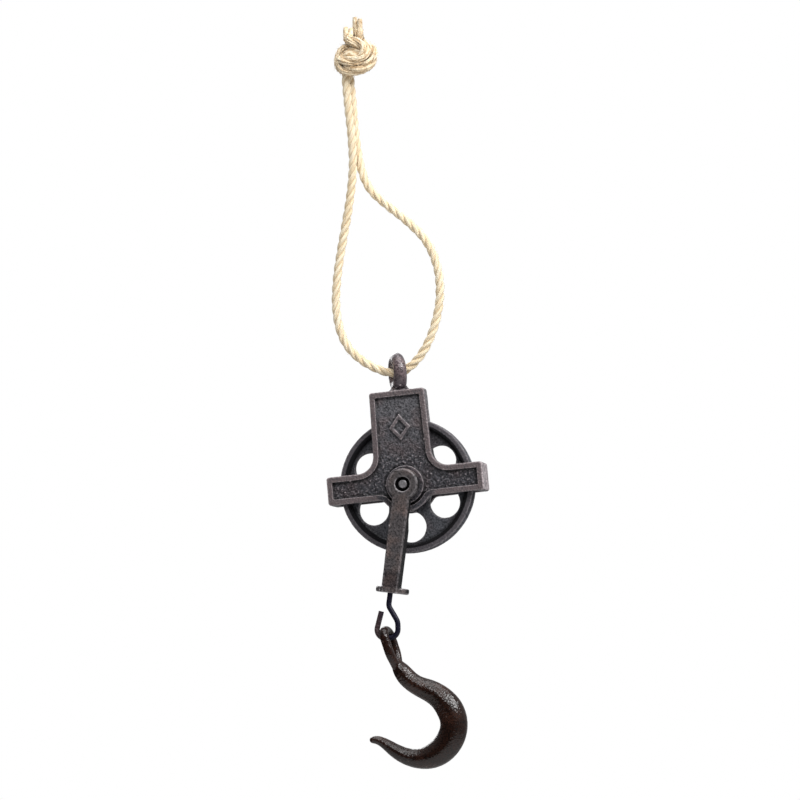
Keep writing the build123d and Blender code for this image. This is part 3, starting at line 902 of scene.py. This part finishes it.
brush_points = []
brush_faces = []
for place, way, sides, long in tail_ends:
    for strand in range(3):
        outward = around(sides, 2 * math.pi * strand / 3 + TAIL_TURN)
        aside = STRAND_FROM_MIDDLE + STUB_OPEN * BRUSH_OPEN
        end = place + outward * aside + way * long * (BRUSH_AT - STRAND_SHORTER * strand)
        for _ in range(FIBRES_ON_STUB):
            lift = (sides[0] * draw.uniform(-1, 1) + sides[1] * draw.uniform(-1, 1)).normalized()
            start = end + lift * draw.uniform(*BRUSH_WIDE) - way * BRUSH_ROOT
            loose_fibre(brush_points, brush_faces, start, way, lift, draw.uniform(*BRUSH_LONG))
for _ in range(FIBRES_ON_KNOT):
    ring = draw.choice((draw.randrange(1, loop_start), draw.randrange(loop_end, len(rope_line) - 1)))
    start, way, lift = hair_root(ring)
    long = draw.uniform(*KNOT_FIBRE_LONG)
    loose_fibre(brush_points, brush_faces, start, way, lift, long, KNOT_FIBRE_R, KNOT_FIBRE_RISES)
knot_parts.append(fibre_piece("brush", brush_points, brush_faces))

bpy.ops.object.select_all(action="DESELECT")
for part in knot_parts:
    part.select_set(True)
knot = knot_parts[0]
bpy.context.view_layer.objects.active = knot
bpy.ops.object.join()

# Pale cord: fibres run nearly along the rope, the creases between the strands are painted darker as shade,
# and here and there a stretch is a shade browner. The knot is handled more, so it is browner and rougher, and
# its creases and hollows carry more painted shade.
FIBRES_RUN = 1.53
CORD_SHELTER = 0.003
CORD_RELIEF = 0.0005


def cord_fibre(name, pale, browner, lined, crease_shade, deep_shade, fleck, bump):
    """Sisal in its own tones: pale and browner stretches and fibre lines, with painted shade in creases and
    deep hollows.
    """
    material, tree, shader = new_finish(name, {"Sheen Weight": 0.2, "Specular IOR Level": 0.2})
    lay_map = add(tree, "UVMap", {}, uv_map="lay").outputs["UV"]
    lay = add(tree, "SeparateXYZ", {"Vector": lay_map}).outputs
    fibre_side = reckon(tree, "ADD", lay["X"], reckon(tree, "MULTIPLY", lay["Y"], FIBRES_RUN))
    fibre_place = add(tree, "CombineXYZ", {"X": fibre_side, "Y": lay["Y"]}).outputs[0]
    stretched = add(tree, "Mapping", {"Vector": fibre_place, "Scale": fleck}).outputs[0]
    fibres = add(tree, "TexNoise", {"Vector": stretched, "Scale": 1, "Detail": 5}).outputs["Fac"]
    lobe = reckon(tree, "FRACT", lay["X"])
    from_crown = reckon(tree, "ABSOLUTE", reckon(tree, "SUBTRACT", lobe, 0.5))
    crease = spread(tree, from_crown, low=0.3, high=0.5)
    place = add(tree, "TexCoord", {}).outputs["Object"]
    stretch = add(tree, "TexNoise", {"Vector": place, "Scale": 110, "Detail": 3}).outputs["Fac"]
    ground = mix(tree, spread(tree, stretch, low=0.4, high=0.66), tint(*pale), tint(*browner))
    streaked = mix(tree, spread(tree, fibres, low=0.58, high=0.38), ground, tint(*lined))
    # Painted shade: darker in the creases between strands, and darker still in hollows that ambient occlusion
    # finds
    laid = mix(tree, crease, streaked, tint(*crease_shade))
    shelter = add(tree, "AmbientOcclusion", {"Distance": CORD_SHELTER}, only_local=True, samples=6)
    inner = mix(tree, spread(tree, shelter.outputs["AO"], low=0.6, high=0.15), laid, tint(*deep_shade))
    dull = spread(tree, fibres, start=0.7, end=0.95)
    dress(tree, shader, inner, dull, fibres, bump, CORD_RELIEF)
    return material


loop_sisal = cord_fibre(
    "loop_sisal",
    pale=(252, 240, 214),
    browner=(248, 231, 199),
    lined=(234, 211, 174),
    crease_shade=(228, 204, 166),
    deep_shade=(160, 126, 84),
    fleck=(6, 1.2, 1),
    bump=0.7,
)
knot_sisal = cord_fibre(
    "knot_sisal",
    pale=(255, 244, 218),
    browner=(251, 232, 199),
    lined=(206, 173, 131),
    crease_shade=(214, 184, 144),
    deep_shade=(88, 58, 28),
    fleck=(5, 4, 1),
    bump=1.0,
)
for piece, sisal in ((loop, loop_sisal), (knot, knot_sisal), (hairs, loop_sisal)):
    piece.data.materials.append(sisal)
    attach(piece, "rope")
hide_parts("rope_loop")
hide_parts("rope_knot")

# Studio
# A pale floor a metre below the hook, paler still to the camera, and a white world that metal mirrors dimly.
# A soft key lamp stands at the upper right, a wide one above, a small one in front and a weak one behind.
FLOOR_DROP = 1.0
FLOOR_SIZE = 5
FLOOR_PALER = 0.6
bpy.ops.mesh.primitive_plane_add(size=FLOOR_SIZE, location=(0, 0, cad_low.z - FLOOR_DROP))
floor = bpy.context.object
floor.name = "floor"
pale_floor, floor_tree, floor_shader = new_finish(
    "pale_floor", {"Base Color": tint(236, 236, 236), "Roughness": 0.9, "Emission Color": (1, 1, 1, 1)}
)
floor_seen = add(floor_tree, "LightPath", {}).outputs["Is Camera Ray"]
floor_glow = reckon(floor_tree, "MULTIPLY", floor_seen, FLOOR_PALER)
floor_tree.links.new(floor_glow, floor_shader.inputs["Emission Strength"])
floor.data.materials.append(pale_floor)

WORLD_FILL = 0.36
ROOM_BRIGHT_WAY = (0.35, 0.4, 0.5)
ROOM_DARK = 0.03
ROOM_BRIGHT = 0.5
world = bpy.data.worlds.new("white")
bpy.context.scene.world = world
world.use_nodes = True
sky_tree = world.node_tree
rays = add(sky_tree, "LightPath", {}).outputs
mirrored = reckon(sky_tree, "MAXIMUM", rays["Is Glossy Ray"], rays["Is Transmission Ray"])
aim = add(sky_tree, "TexCoord", {}).outputs["Generated"]
bright_side = add(sky_tree, "VectorMath", {0: aim, 1: ROOM_BRIGHT_WAY}, operation="DOT_PRODUCT")
room = spread(sky_tree, bright_side.outputs["Value"], low=-0.2, high=0.5, start=ROOM_DARK, end=ROOM_BRIGHT)
unseen = add(sky_tree, "Mix", {"Factor": mirrored, "A": WORLD_FILL, "B": room})
level = add(sky_tree, "Mix", {"Factor": rays["Is Camera Ray"], "A": unseen.outputs[0], "B": 1.0})
sky = sky_tree.nodes["Background"]
sky.inputs["Color"].default_value = (1, 1, 1, 1)
sky_tree.links.new(level.outputs[0], sky.inputs["Strength"])

for name, place, size, power in (
    ("key_lamp", (1.5, -0.78, 0.9), 0.8, 27),
    ("top_lamp", (0.2, -0.1, 1.25), 1.3, 16),
    ("front_lamp", (0.3, -1.2, 0.75), 0.55, 6),
    ("back_lamp", (-0.7, 1.4, 0.6), 1.0, 9),
):
    lamp = bpy.data.lights.new(name, "AREA")
    lamp.size = size
    lamp.energy = power
    holder = bpy.data.objects.new(name, lamp)
    bpy.context.scene.collection.objects.link(holder)
    holder.location = place
    holder.rotation_euler = (Vector(place) - VIEW_CENTRE).to_track_quat("Z", "Y").to_euler()
